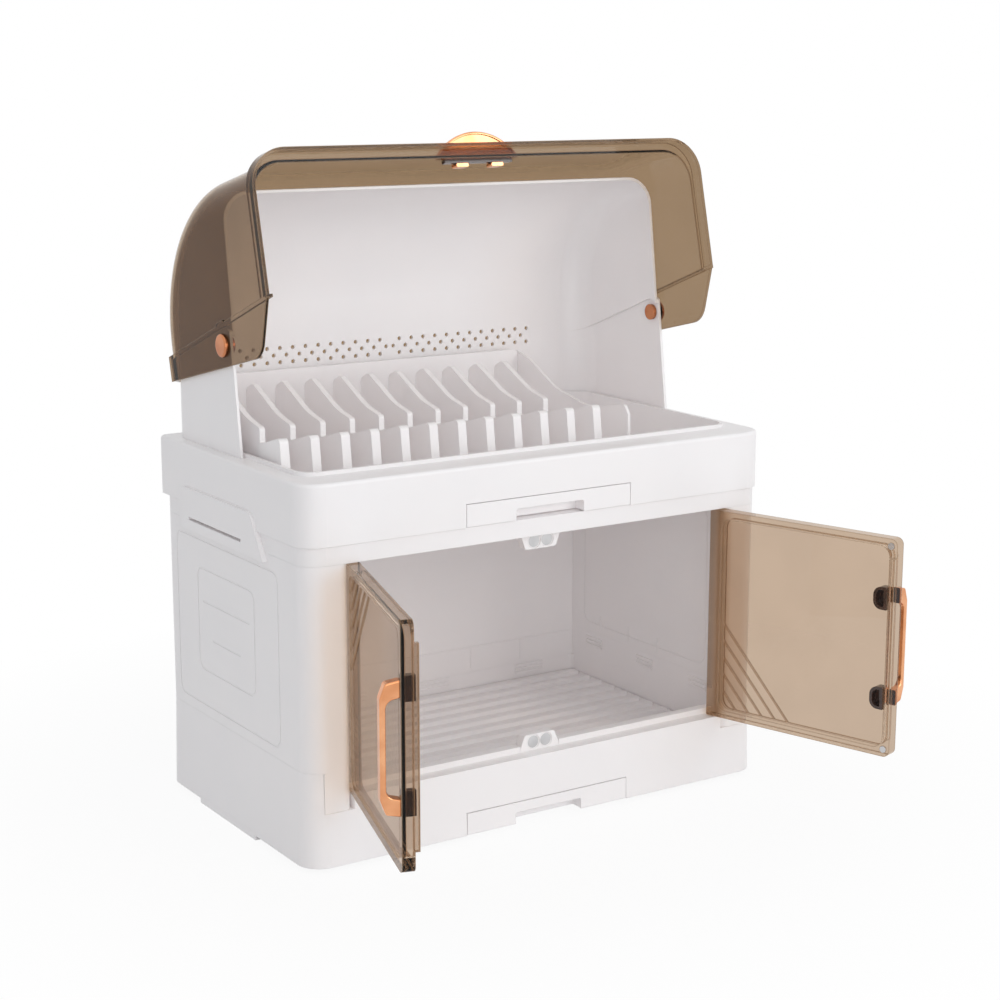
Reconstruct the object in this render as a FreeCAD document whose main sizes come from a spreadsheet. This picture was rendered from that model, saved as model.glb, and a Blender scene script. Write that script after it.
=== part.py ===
import FreeCAD, Part

import math
import os

import Sketcher

# A two-tier dish rack: a cabinet with two tinted doors and a drain floor below, a plate tray above it,
# and a hood whose tinted lid swings up over the tray. Millimetres, +Z up. The origin lies on the ground
# under the middle of the cabinet. The doors and the lid are drawn shut, then placed open, as at rest.

SIZES = [
    # Outline of the whole cabinet
    ("overall_width", 450),
    ("overall_depth", 264),
    ("corner_radius", 20),
    ("body_inset", 2),
    ("skin", 2.5),
    ("joint_gap", 0.3),
    # Base frame
    ("foot_height", 4),
    ("foot_radius", 9),
    ("foot_setback", 27),
    ("skid_front", 38),
    ("skid_rear", 67),
    ("base_height", 77),
    ("floor_height", 26),
    ("sill_height", 55.6),
    ("sill_stop_rise", 5),
    ("sill_stop_depth", 8),
    ("back_rim_height", 47),
    ("tongue_height", 33),
    ("tongue_width", 25.5),
    # Walls and doorway
    ("side_wall_depth", 20),
    ("front_wall_depth", 12),
    ("back_wall_depth", 6),
    ("post_width", 38.5),
    ("post_round", 8),
    ("wall_height", 165),
    ("top_frame_height", 15),
    ("wall_rib_pitch", 56.6),
    ("wall_rib_width", 2.4),
    # Shallow lines and ribs on the walls
    ("relief", 0.4),
    ("line_width", 1.5),
    ("wall_field_front", 84),
    ("wall_field_rear", 104),
    ("wall_field_rise", 9),
    ("wall_field_drop", 12),
    ("wall_field_round", 10),
    ("wall_mark_front", 42),
    ("wall_mark_rear", 64),
    ("wall_mark_rise", 40),
    ("wall_mark_drop", 36),
    ("wall_mark_long", 85),
    ("wall_mark_short", 51),
    ("wall_mark_pitch", 31),
    ("inner_rib_first", 14),
    ("inner_rib_pitch", 45),
    ("inner_rib_rise", 4),
    ("inner_rib_height", 14),
    ("inner_band_rise", 24),
    # Clips inside the base's rim
    ("clip_proud", 1.2),
    ("clip_slat", 2),
    ("clip_pitch", 3.6),
    ("clip_drop", 1),
    ("back_clip_length", 31),
    ("back_clip_first", 29),
    ("back_clip_second", 136),
    ("side_clip_drop", 5),
    ("side_clip_length", 25),
    ("side_clip_first", 86),
    ("side_clip_pitch", 80),
    # Upper tray
    ("tray_height", 49.5),
    ("tray_edge_round", 3),
    ("tray_rear_radius", 8),
    ("tray_floor_height", 23),
    ("tray_lip_rise", 3),
    ("tray_lip_width", 3),
    ("tray_ledge_side", 15),
    ("tray_ledge_front", 29),
    ("tray_ledge_rear", 8),
    ("tray_inner_radius", 14),
    ("tray_rear_round", 20),
    # Drawers
    ("drawer_width", 160),
    ("drawer_height", 18.3),
    ("drawer_length", 190),
    ("drawer_wall", 2),
    ("drawer_gap", 0.5),
    ("drawer_flange", 5),
    ("drawer_flange_height", 9),
    ("drawer_runner_gap", 0.4),
    ("pull_width", 66),
    ("pull_height", 9.5),
    ("pull_depth", 12),
    # Hood
    ("hood_set_in", 10.6),
    ("hood_step", 3),
    ("hood_skin", 2.5),
    ("hood_rear", 128),
    ("hood_height", 210),
    ("hood_round", 104),
    ("hood_front_foot", 6.3),
    ("hood_front_top", 21.7),
    ("hood_edge_round", 24),
    ("hood_inner_round", 23),
    ("hood_rear_corner", 29),
    ("vent_first", 10),
    ("vent_pitch", 12.55),
    ("vent_row_gap", 6.3),
    ("vent_radius", 1.8),
    ("vent_height", 60),
    ("vent_columns", 12),
    # Lid and its pivots
    ("pivot_depth", 15),
    ("pivot_height", 399.2),
    ("lid_open_angle", 103.5),
    ("lid_step_angle", 82.7),
    ("lid_step_reach", 14.8),
    ("lid_step_gap", 0.6),
    ("lid_side_gap", 0.1),
    ("lid_skin", 2.5),
    ("lid_radius", 127.5),
    ("lid_drop", 88.4),
    ("lid_front", 133),
    ("lid_rear", 17.5),
    ("lid_edge_round", 28),
    ("lid_joggle", 2.7),
    ("hem_height", 10),
    ("hem_front", 141),
    ("flap_rise", 23.4),
    ("flap_top", 106),
    ("flap_round", 20),
    ("lid_bump_reach", 20),
    ("lid_bump_width", 17),
    ("lid_bump_crest", 12),
    ("lid_bump_round", 5),
    ("pivot_pin_radius", 5),
    ("pivot_head_radius", 9.5),
    ("pivot_head_depth", 2.8),
    ("pivot_inner_head_radius", 7),
    ("pivot_clearance", 0.06),
    # Lid handle
    ("lid_handle_width", 78),
    ("lid_handle_reach", 20.4),
    ("lid_handle_height", 6),
    ("lid_handle_rise", 17),
    ("lid_handle_rim", 2.2),
    ("lid_handle_dish", 1.2),
    ("lid_bracket_width", 66),
    ("lid_bracket_depth", 3),
    ("lid_bracket_height", 5),
    ("lid_clip_spacing", 34),
    ("lid_clip_width", 12),
    ("lid_clip_height", 8),
    ("lid_clip_depth", 3.5),
    ("lid_clip_round", 1.5),
    # Doors
    ("door_axis_inset", 5.5),
    ("door_axis_setback", 6),
    ("door_meeting_gap", 0.5),
    ("door_thickness", 10),
    ("door_gap", 0.9),
    ("door_rim", 7),
    ("door_panel", 3),
    ("door_recess", 1.5),
    ("door_corner", 6),
    ("door_window_corner", 9),
    ("door_open_angle", 107),
    ("door_pin_radius", 2.4),
    ("door_pin_length", 3.2),
    ("door_pin_clearance", 0.06),
    ("door_hinge_bar", 14),
    ("door_edge_rib", 3.5),
    ("door_edge_rib_width", 4),
    ("door_edge_rib_inset", 16),
    ("door_brace_run", 13.4),
    ("door_brace_rise", 15),
    ("door_brace_width", 1.6),
    ("door_brace_proud", 1),
    ("strike_radius", 2.8),
    ("strike_inset", 6.3),
    ("strike_seat", 1.2),
    ("strike_proud", 0.3),
    # Door handles
    ("handle_length", 100),
    ("handle_reach", 14.5),
    ("handle_width", 9),
    ("handle_thickness", 4.5),
    ("handle_end", 13),
    ("handle_taper", 4),
    ("handle_bend", 7),
    ("handle_inset", 2),
    ("socket_width", 12),
    ("socket_length", 19),
    ("socket_height", 8),
    # Door catches
    ("catch_width", 38),
    ("catch_tip_width", 30),
    ("catch_root_height", 3),
    ("catch_height", 14),
    ("catch_tail", 12),
    ("catch_round", 3),
    ("magnet_radius", 5.2),
    ("magnet_spacing", 12.6),
    ("magnet_depth", 2.5),
    ("magnet_recess", 0.6),
    ("magnet_rim", 1),
    # Plate rack
    ("rack_side_gap", 4),
    ("rack_right", 134.5),
    ("rack_front", 58),
    ("rack_rear", 118),
    ("rack_plate", 3),
    ("rack_corner", 4),
    ("rack_rear_round", 12),
    ("rib_pitch", 27.4),
    ("rib_inset", 5),
    ("rib_count", 11),
    ("rib_width", 5),
    ("fin_width", 8),
    ("fin_front", 50),
    ("fin_foot", 56),
    ("fin_round", 4),
    ("fin_rear", 13),
    ("fin_height", 48.5),
    ("saddle_height", 38),
    ("knee_height", 50.8),
    ("tooth_height", 76),
    ("tooth_peak", 54),
    ("tooth_dip", 12),
    ("dip_height", 56),
    ("tooth_rear", 66),
    ("tooth_round", 5),
    ("tooth_slope", 6),
    ("dip_round", 70),
    ("upstand_height", 75.5),
    ("upstand_width", 3),
    ("upstand_round", 10),
    ("end_shoulder", 96),
    ("end_shoulder_drop", 7.5),
    ("end_shoulder_round", 20),
    ("end_slope", 54),
    ("end_slope_height", 46.8),
    ("end_slope_round", 60),
    ("end_dip", 2),
    ("end_front_round", 6),
    ("rack_slot_width", 9),
    ("rack_slot_length", 48),
    # Drain grille
    ("grille_gap", 1),
    ("grille_plate", 3),
    ("grille_rail_height", 3),
    ("grille_rib_height", 4),
    ("grille_rib_width", 6),
    ("grille_rib_pitch", 20),
    ("grille_slot_width", 6),
    ("grille_slot_length", 44),
    # Lift grips
    ("grip_front", 67),
    ("grip_rear", 85),
    ("grip_top", 275),
    ("grip_height", 36),
    ("grip_proud", 2.4),
    ("grip_slope", 22),
    ("grip_round", 9),
    ("grip_slot_height", 2.4),
    ("grip_slot_rise", 3.2),
    ("grip_slot_length", 98),
]


class Size:
    """A length or angle: its value, and the sheet expression that gives it."""

    def __init__(self, value, text):
        self.value = float(value)
        self.text = text

    def __add__(self, other):
        other = as_size(other)
        return Size(self.value + other.value, f"({self.text} + {other.text})")

    def __sub__(self, other):
        other = as_size(other)
        return Size(self.value - other.value, f"({self.text} - {other.text})")

    def __mul__(self, other):
        other = as_size(other)
        return Size(self.value * other.value, f"({self.text} * {other.text})")

    def __truediv__(self, other):
        other = as_size(other)
        return Size(self.value / other.value, f"({self.text} / {other.text})")

    def __radd__(self, other):
        return as_size(other) + self

    def __rsub__(self, other):
        return as_size(other) - self

    def __rmul__(self, other):
        return as_size(other) * self

    def __neg__(self):
        return Size(-self.value, f"(-{self.text})")


def as_size(number):
    """A plain number as a Size. A Size stays as it is."""
    if isinstance(number, Size):
        return number
    return Size(number, f"({float(number)!r})")


doc = FreeCAD.newDocument("dish_rack")
sheet = doc.addObject("Spreadsheet::Sheet", "Sizes")


def fill_sheet():
    """Put the driving sizes in the sheet, and give each back under its own name."""
    sizes = {}
    for row, (alias, number) in enumerate(SIZES, start=1):
        sheet.set(f"A{row}", alias)
        sheet.set(f"B{row}", str(number))
        sheet.setAlias(f"B{row}", alias)
        sizes[alias] = Size(number, f"Sizes.{alias}")
    doc.recompute()
    return type("Sizes", (), sizes)


s = fill_sheet()

# Levels and planes that several pieces share
half_width = s.overall_width / 2
half_depth = s.overall_depth / 2
body_side = half_width - s.body_inset
body_front = -(half_depth - s.body_inset)
body_rear = half_depth - s.body_inset
room_side = body_side - s.side_wall_depth
room_rear = body_rear - s.back_wall_depth
wall_radius = s.corner_radius - s.body_inset
doorway_side = body_side - s.post_width
doorway_rear = body_front + s.front_wall_depth
stop_rear = doorway_rear + s.sill_stop_depth
door_axis = doorway_side - s.door_axis_inset
door_reach = door_axis - s.door_meeting_gap
door_axis_line = body_front + s.door_axis_setback

base_bottom = s.foot_height
base_rim = base_bottom + s.base_height
floor_top = base_bottom + s.floor_height
floor_under = floor_top - s.skin
sill_top = base_bottom + s.sill_height
stop_top = sill_top + s.sill_stop_rise
back_rim = base_bottom + s.back_rim_height
wall_top = base_rim + s.wall_height
frame_top = wall_top + s.top_frame_height
ledge = frame_top + s.tray_height
tray_floor = frame_top + s.tray_floor_height
tray_side = half_width - s.tray_ledge_side - s.tray_lip_width
tray_front = -(half_depth - s.tray_ledge_front - s.tray_lip_width)
tray_rear = half_depth - s.tray_ledge_rear - s.tray_lip_width
drawer_side = s.drawer_width / 2
lintel_side = doorway_side - s.side_wall_depth
grip_low = s.grip_top - s.grip_height

PLANES = {"XY": "XY_Plane", "XZ": "XZ_Plane", "YZ": "YZ_Plane"}


def origin_plane(body, plane):
    """The body's own origin plane of that name."""
    for item in body.Origin.OriginFeatures:
        if item.Role == PLANES[plane]:
            return item
    raise ValueError(plane)


def origin_axis(body, axis):
    """The body's own origin axis of that name."""
    for item in body.Origin.OriginFeatures:
        if item.Role == f"{axis}_Axis":
            return item
    raise ValueError(axis)


def new_body(name):
    """An empty body under its own name."""
    body = doc.addObject("PartDesign::Body", name)
    body.Label = name
    body.AllowCompound = True
    return body


def new_sketch(body, name, plane, level):
    """A sketch on the body's origin plane, moved along the third axis to that level."""
    sketch = body.newObject("Sketcher::SketchObject", name)
    sketch.AttachmentSupport = [(origin_plane(body, plane), "")]
    sketch.MapMode = "FlatFace"
    shift = -as_size(level) if plane == "XZ" else as_size(level)
    sketch.setExpression("AttachmentOffset.Base.z", shift.text)
    return sketch


def bind(sketch, kind, *where, size):
    """Add a dimension to the sketch and bind it to the size's expression."""
    size = as_size(size)
    index = sketch.addConstraint(Sketcher.Constraint(kind, *where, size.value))
    sketch.setExpression(f"Constraints[{index}]", size.text)


def pin_point(sketch, geometry, end, x, y):
    """Fix a point of the sketch at x, y from the sketch's origin."""
    bind(sketch, "DistanceX", -1, 1, geometry, end, size=x)
    bind(sketch, "DistanceY", -1, 1, geometry, end, size=y)


def add_circle(sketch, x, y, radius):
    """A full circle about x, y."""
    centre = FreeCAD.Vector(as_size(x).value, as_size(y).value, 0)
    circle = Part.Circle(centre, FreeCAD.Vector(0, 0, 1), as_size(radius).value)
    index = sketch.addGeometry(circle, False)
    pin_point(sketch, index, 3, x, y)
    bind(sketch, "Radius", index, size=radius)


def add_outline(sketch, corners):
    """A closed outline through the corners, each x, y or x, y, radius of a round."""
    corners = [(as_size(c[0]), as_size(c[1]), as_size(c[2]) if len(c) > 2 else None) for c in corners]
    count = len(corners)
    spots = [FreeCAD.Vector(x.value, y.value, 0) for x, y, _ in corners]
    rounds = []
    for i, (_, _, radius) in enumerate(corners):
        back = (spots[i - 1] - spots[i]).normalize()
        ahead = (spots[(i + 1) % count] - spots[i]).normalize()
        if radius is None:
            rounds.append((spots[i], spots[i], None))
            continue
        half = back.getAngle(ahead) / 2
        run = radius.value / math.tan(half)
        centre = spots[i] + (back + ahead).normalize() * (radius.value / math.sin(half))
        first, last = spots[i] + back * run, spots[i] + ahead * run
        turns_left = (back.cross(ahead)).z < 0
        start, stop = (first, last) if turns_left else (last, first)
        angles = [math.atan2(p.y - centre.y, p.x - centre.x) for p in (start, stop)]
        if angles[1] < angles[0]:
            angles[1] += 2 * math.pi
        circle = Part.Circle(centre, FreeCAD.Vector(0, 0, 1), radius.value)
        rounds.append((first, last, (Part.ArcOfCircle(circle, *angles), turns_left)))
    lines = []
    for i in range(count):
        line = Part.LineSegment(rounds[i][1], rounds[(i + 1) % count][0])
        lines.append(sketch.addGeometry(line, False))
    for i, (x, y, radius) in enumerate(corners):
        before, after = lines[i - 1], lines[i]
        if radius is None:
            sketch.addConstraint(Sketcher.Constraint("Coincident", before, 2, after, 1))
            pin_point(sketch, after, 1, x, y)
            continue
        arc, turns_left = rounds[i][2]
        index = sketch.addGeometry(arc, False)
        near, far = (1, 2) if turns_left else (2, 1)
        corner = sketch.addGeometry(Part.Point(spots[i]), True)
        pin_point(sketch, corner, 1, x, y)
        sketch.addConstraint(Sketcher.Constraint("PointOnObject", corner, 1, before))
        sketch.addConstraint(Sketcher.Constraint("PointOnObject", corner, 1, after))
        sketch.addConstraint(Sketcher.Constraint("Tangent", before, 2, index, near))
        sketch.addConstraint(Sketcher.Constraint("Tangent", index, far, after, 1))
        bind(sketch, "Radius", index, size=radius)


def box_corners(left, right, low, high, radius=None):
    """Corners of a rectangle, anticlockwise, all with the same round."""
    spots = [(left, low), (right, low), (right, high), (left, high)]
    return spots if radius is None else [(x, y, radius) for x, y in spots]


def extrude(body, kind, name, plane, start, length, outlines, circles=()):
    """A pad or pocket from start to start + length along the axis across the plane."""
    sketch = new_sketch(body, f"{name}_sketch", plane, start)
    for corners in outlines:
        add_outline(sketch, corners)
    for circle in circles:
        add_circle(sketch, *circle)
    feature = body.newObject(f"PartDesign::{kind}", name)
    feature.Profile = sketch
    feature.setExpression("Length", as_size(length).text)
    along = (plane != "XZ") if kind == "Pad" else (plane == "XZ")
    feature.Reversed = not along
    before = body.Shape.Volume if not body.Shape.isNull() else 0.0
    doc.recompute()
    after = feature.Shape.Volume if feature.Shape and not feature.Shape.isNull() else 0.0
    if (kind == "Pad") != (after > before + 1e-6):
        raise RuntimeError(f"{body.Label} {name} went from {before:.1f} to {after:.1f}: "
                           f"{feature.getStatusString()}, {sketch.getStatusString()}")
    return feature


def pad(body, name, plane, start, length, *outlines, circles=()):
    """Material between the levels start and start + length."""
    return extrude(body, "Pad", name, plane, start, length, outlines, circles)


def pocket(body, name, plane, start, length, *outlines, circles=()):
    """A cut between the levels start and start + length."""
    return extrude(body, "Pocket", name, plane, start, length, outlines, circles)


def dress(body, kind, name, base, radius, chosen):
    """A fillet or chamfer of the base's edges that the test picks."""
    edges = [f"Edge{i}" for i, edge in enumerate(base.Shape.Edges, start=1) if chosen(edge)]
    feature = body.newObject(f"PartDesign::{kind}", name)
    feature.Base = (base, edges)
    feature.setExpression("Radius" if kind == "Fillet" else "Size", as_size(radius).text)
    doc.recompute()
    return feature


def repeat(body, name, originals, axis, pitch, count, backwards=False):
    """Copies of the features along an origin axis, at that pitch."""
    feature = body.newObject("PartDesign::LinearPattern", name)
    feature.Originals = originals
    feature.Direction = (origin_axis(body, axis), [""])
    feature.Mode = "Spacing"
    feature.setExpression("Offset", as_size(pitch).text)
    feature.Reversed = backwards
    feature.setExpression("Occurrences", as_size(count).text)
    body.Tip = feature
    doc.recompute()
    return feature


def place(body, x=0, y=0, z=0, axis=None, angle=None):
    """Put a body at x, y, z, turned about the axis by the angle."""
    if axis is not None:
        body.Placement = FreeCAD.Placement(
            FreeCAD.Vector(), FreeCAD.Rotation(FreeCAD.Vector(*axis), as_size(angle).value)
        )
        body.setExpression("Placement.Rotation.Angle", as_size(angle).text)
    for letter, number in (("x", x), ("y", y), ("z", z)):
        body.setExpression(f"Placement.Base.{letter}", as_size(number).text)
    doc.recompute()


def mirrored_x(corners):
    """The same outline on the other side of the middle plane, still anticlockwise."""
    flipped = [(-as_size(c[0]),) + tuple(c[1:]) for c in corners]
    return flipped[::-1]


def box_about(x, y, width, length, radius=None):
    """Corners of a rectangle centred on x, y."""
    half_x, half_y = as_size(width) / 2, as_size(length) / 2
    return box_corners(x - half_x, x + half_x, y - half_y, y + half_y, radius)


def sine(angle):
    """The sine of an angle in degrees."""
    return Size(math.sin(math.radians(angle.value)), f"sin({angle.text} * 1 deg)")


def cosine(angle):
    """The cosine of an angle in degrees."""
    return Size(math.cos(math.radians(angle.value)), f"cos({angle.text} * 1 deg)")


def hinge_bores():
    """The two round holes, in sill and lintel alike, that take the doors' pins."""
    radius = s.door_pin_radius + s.door_pin_clearance
    return [(x, door_axis_line, radius) for x in (-door_axis, door_axis)]


def grip_slot():
    """Side view of the finger slot through a lift grip and the frame behind it."""
    middle = (s.grip_rear - s.grip_front + s.grip_slope) / 2
    return box_about(middle, wall_top + s.grip_slot_rise, s.grip_slot_length, s.grip_slot_height,
                     s.grip_slot_height / 3)


def make_base_frame():
    """Lower tub: double side walls, low back rim, front sill with a stop, drawer bay and skid below."""
    body = new_body("base_frame")
    foot = new_sketch(body, "foot_outline", "XY", base_bottom)
    add_outline(foot, box_corners(-half_width, half_width, -half_depth, half_depth, s.corner_radius))
    rim = new_sketch(body, "rim_outline", "XY", base_rim)
    add_outline(rim, box_corners(-body_side, body_side, body_front, body_rear, wall_radius))
    tub = body.newObject("PartDesign::AdditiveLoft", "tub")
    tub.Profile = foot
    tub.Sections = [rim]
    tub.Ruled = True
    doc.recompute()

    inner_round = s.corner_radius / 4
    pocket(body, "cabinet", "XY", floor_top, s.base_height,
           box_corners(-room_side, room_side, stop_rear, room_rear, inner_round))
    pocket(body, "doorway", "XY", sill_top, s.base_height,
           box_corners(-doorway_side, doorway_side, -s.overall_depth, doorway_rear))
    pocket(body, "doorway_stop", "XY", stop_top, s.base_height,
           box_corners(-doorway_side, doorway_side, doorway_rear - 1, stop_rear + inner_round))
    catch_side = s.catch_width / 2 + s.joint_gap
    pocket(body, "catch_seat", "XY", sill_top, s.base_height,
           box_corners(-catch_side, catch_side, doorway_rear - 1, stop_rear + 1))
    pocket(body, "back_seat", "XY", back_rim, s.base_height,
           box_corners(-room_side, room_side, room_rear - inner_round, s.overall_depth))
    tongue_bottom = base_rim - s.tongue_height
    tongue = box_corners(doorway_side - 1, doorway_side + s.tongue_width, -s.overall_depth, doorway_rear)
    pocket(body, "post_seats", "XY", tongue_bottom, s.base_height, tongue, mirrored_x(tongue))

    skin = s.skin
    hollow = box_corners(-(half_width - skin), half_width - skin, -(half_depth - skin), half_depth - skin,
                         s.corner_radius - skin)
    pocket(body, "underside", "XY", base_bottom - 1, floor_under - base_bottom + 1, hollow)
    side = box_corners(room_side + skin, body_side - skin, stop_rear, room_rear)
    pocket(body, "side_cavities", "XY", floor_under - 1, base_rim - skin - floor_under + 1, side,
           mirrored_x(side))
    pocket(body, "sill_cavity", "XY", floor_under - 1, sill_top - skin - floor_under + 1,
           box_corners(-lintel_side, lintel_side, body_front + skin, stop_rear - skin))
    pocket(body, "hinge_bores", "XY", sill_top - s.door_pin_length, s.door_pin_length, circles=hinge_bores())

    boss = s.foot_radius + s.skin
    foot_x, foot_y = half_width - s.foot_setback, half_depth - s.foot_setback
    spots = [(x, y, boss) for x in (-foot_x, foot_x) for y in (-foot_y, foot_y)]
    pad(body, "foot_bosses", "XY", base_bottom, floor_under - base_bottom + 0.5, circles=spots)
    pad(body, "skid", "XY", 0, base_bottom + skin,
        box_corners(-half_width, half_width, -s.skid_front, s.skid_rear))
    bay = drawer_side + s.drawer_gap
    pocket(body, "drawer_mouth", "XY", base_bottom - 1, s.drawer_height + 2 * s.drawer_gap + 1,
           box_corners(-bay, bay, -s.overall_depth, -(half_depth - skin) + 1))
    pocket(body, "skid_drawer_way", "XY", base_bottom, s.drawer_height,
           box_corners(-bay, bay, -s.skid_front - 1, s.skid_rear - skin))
    add_clips(body)
    return body


def add_clips(body):
    """Blocks of three low slats inside the rim, which the wall panels snap behind."""
    back, sides = [], []
    for row in range(3):
        down = s.clip_slat + row * s.clip_pitch
        low = back_rim - s.clip_drop - down
        for left in (s.back_clip_first, s.back_clip_second):
            slat = box_corners(left, left + s.back_clip_length, low, low + s.clip_slat)
            back += [slat, mirrored_x(slat)]
        low = base_rim - s.side_clip_drop - down
        for column in range(3):
            front = column * s.side_clip_pitch - s.side_clip_first
            sides.append(box_corners(front, front + s.side_clip_length, low, low + s.clip_slat))
    pad(body, "back_clips", "XZ", room_rear - s.clip_proud, s.clip_proud + 0.5, *back)
    pad(body, "right_clips", "YZ", room_side - s.clip_proud, s.clip_proud + 0.5, *sides)
    pad(body, "left_clips", "YZ", -room_side - 0.5, s.clip_proud + 0.5, *sides)


def make_runners(name, drawer_level, ceiling):
    """Two angle rails under the ceiling that carry the flanges of the drawer at that level."""
    body = new_body(name)
    skin = s.skin
    lip = drawer_level + s.drawer_gap + s.drawer_flange_height - s.drawer_runner_gap
    outer = drawer_side + s.drawer_gap + skin
    inner = drawer_side - s.drawer_flange + s.drawer_gap
    rail = [(inner, lip - skin), (outer, lip - skin), (outer, ceiling), (outer - skin, ceiling),
            (outer - skin, lip), (inner, lip)]
    front = -half_depth + 2 * skin
    pad(body, "rails", "XZ", front, s.drawer_length - 2 * skin, rail, mirrored_x(rail))
    return body


def make_drawer(name, level):
    """Shallow tray that slides on two flanges, with a front plate notched below for the fingers."""
    body = new_body(name)
    wall = s.drawer_wall
    side = drawer_side - s.drawer_flange
    rear = -half_depth + s.drawer_length
    base = level + s.drawer_gap
    low, high = base + s.drawer_gap, base + s.drawer_height - wall
    notch_low, notch_side = base + s.pull_height, s.pull_width / 2
    flange_front = -half_depth + 3 * wall
    pad(body, "pan", "XY", low, high - low, box_corners(-side, side, -half_depth + wall, rear, 3))
    room, bulge = side - wall, notch_side + wall
    behind_plate, behind_notch = -half_depth + 2 * wall, -half_depth + s.pull_depth + wall
    pocket(body, "pan_room", "XY", low + wall, s.drawer_height,
           [(-room, behind_plate), (-bulge, behind_plate), (-bulge, behind_notch, wall),
            (bulge, behind_notch, wall), (bulge, behind_plate), (room, behind_plate),
            (room, rear - wall, wall), (-room, rear - wall, wall)])
    pad(body, "flanges", "XY", base + s.drawer_flange_height, wall,
        box_corners(-drawer_side, -side + wall / 2, flange_front, rear),
        box_corners(side - wall / 2, drawer_side, flange_front, rear))
    pad(body, "front_plate", "XY", base, s.drawer_height,
        box_corners(-drawer_side, drawer_side, -half_depth, -half_depth + wall))
    pocket(body, "finger_notch", "XZ", -half_depth - 1, s.pull_depth + 1,
           [(-notch_side, base - 1), (notch_side, base - 1), (notch_side, notch_low, 2),
            (-notch_side, notch_low, 2)])
    return body


def make_feet():
    """Four soft discs under the corner bosses."""
    body = new_body("rubber_feet")
    foot_x, foot_y = half_width - s.foot_setback, half_depth - s.foot_setback
    spots = [(x, y, s.foot_radius) for x in (-foot_x, foot_x) for y in (-foot_y, foot_y)]
    feet = pad(body, "feet", "XY", 0, s.foot_height, circles=spots)
    dress(body, "Chamfer", "foot_edges", feet, 0.8, lambda edge: edge.BoundBox.ZMax < 0.1)
    return body


def frame_lines(front, rear, low, high):
    """The two outlines of a rounded frame line on a wall, its outer and its inner edge."""
    line, bend = s.line_width, s.wall_field_round
    return (box_corners(front, rear, low, high, bend),
            box_corners(front + line, rear - line, low + line, high - line, bend - line))


def make_side_wall(name, side):
    """Double wall with a rounded front post, whose tongue goes down into the base frame."""
    body = new_body(name)
    skin = s.skin

    def on_side(corners):
        return corners if side > 0 else mirrored_x(corners)

    wall = [(doorway_side, body_front, s.post_round), (body_side, body_front, wall_radius),
            (body_side, body_rear, wall_radius), (room_side, body_rear), (room_side, doorway_rear, 3),
            (doorway_side, doorway_rear)]
    pad(body, "wall", "XY", base_rim, s.wall_height, on_side(wall))
    tongue = [(doorway_side, body_front, s.post_round),
              (doorway_side + s.tongue_width - s.joint_gap, body_front),
              (doorway_side + s.tongue_width - s.joint_gap, doorway_rear), (doorway_side, doorway_rear)]
    pad(body, "tongue", "XY", base_rim - s.tongue_height, s.tongue_height, on_side(tongue))
    cavity = box_corners(room_side + skin, body_side - skin, stop_rear, room_rear)
    pocket(body, "cavity", "XY", base_rim - 1, s.wall_height - skin + 1, on_side(cavity))

    line = s.line_width
    field_low, field_high = base_rim + s.wall_field_rise, wall_top - s.wall_field_drop
    mark_low, mark_high = base_rim + s.wall_mark_rise, wall_top - s.wall_mark_drop
    field = frame_lines(-s.wall_field_front, s.wall_field_rear, field_low, field_high)
    mark = frame_lines(-s.wall_mark_front, s.wall_mark_rear, mark_low, mark_high)
    middle = (mark_low + mark_high) / 2
    middle_y = (s.wall_mark_rear - s.wall_mark_front) / 2
    bars = [box_about(middle_y, middle + s.wall_mark_pitch / 2, s.wall_mark_long, line),
            box_about(middle_y, middle - s.wall_mark_pitch / 2, s.wall_mark_short, line)]
    outer_start = (body_side if side > 0 else -body_side) - s.relief
    pocket(body, "outer_lines", "YZ", outer_start, 2 * s.relief, *field, *mark, *bars)
    inner_start = (room_side if side > 0 else -room_side) - s.relief
    pocket(body, "inner_lines", "YZ", inner_start, 2 * s.relief, *field)
    rib_low = base_rim + s.inner_rib_rise
    ribs = [box_corners(y, y + line, rib_low, rib_low + s.inner_rib_height)
            for y in (column * s.inner_rib_pitch - s.inner_rib_first for column in range(3))]
    rib_start = room_side - s.relief if side > 0 else -room_side - skin / 2
    pad(body, "inner_ribs", "YZ", rib_start, s.relief + skin / 2, *ribs)
    return body


def make_back_wall():
    """Thin wall between the side walls, stiffened behind by a border and upright ribs."""
    body = new_body("back_wall_panel")
    skin = s.skin
    side = room_side
    top = wall_top
    pad(body, "wall", "XY", back_rim, top - back_rim,
        box_corners(-side, side, room_rear, room_rear + skin))
    border = s.back_wall_depth - skin
    pad(body, "border", "XZ", room_rear + skin, border, box_corners(-side, side, back_rim, top),
        box_corners(-side + 2 * border, side - 2 * border, back_rim + 2 * border, top - 2 * border))
    first = -3 * s.wall_rib_pitch
    rib = pad(body, "rib", "XZ", room_rear + skin, border,
              box_corners(first - s.wall_rib_width / 2, first + s.wall_rib_width / 2, back_rim + border,
                          top - border))
    repeat(body, "ribs", [rib], "X", s.wall_rib_pitch, 7)
    line, band = s.line_width, back_rim + s.inner_band_rise
    start, proud = room_rear - s.relief, s.relief + skin / 2
    pad(body, "inner_band", "XZ", start, proud,
        box_corners(-side + 3 * line, side - 3 * line, band, band + line))
    first = -2.5 * s.wall_rib_pitch
    post = pad(body, "inner_post", "XZ", start, proud,
               box_corners(first - line / 2, first + line / 2, back_rim + s.inner_rib_rise, band + line / 2))
    repeat(body, "inner_posts", [post], "X", s.wall_rib_pitch, 6)
    return body


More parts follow.
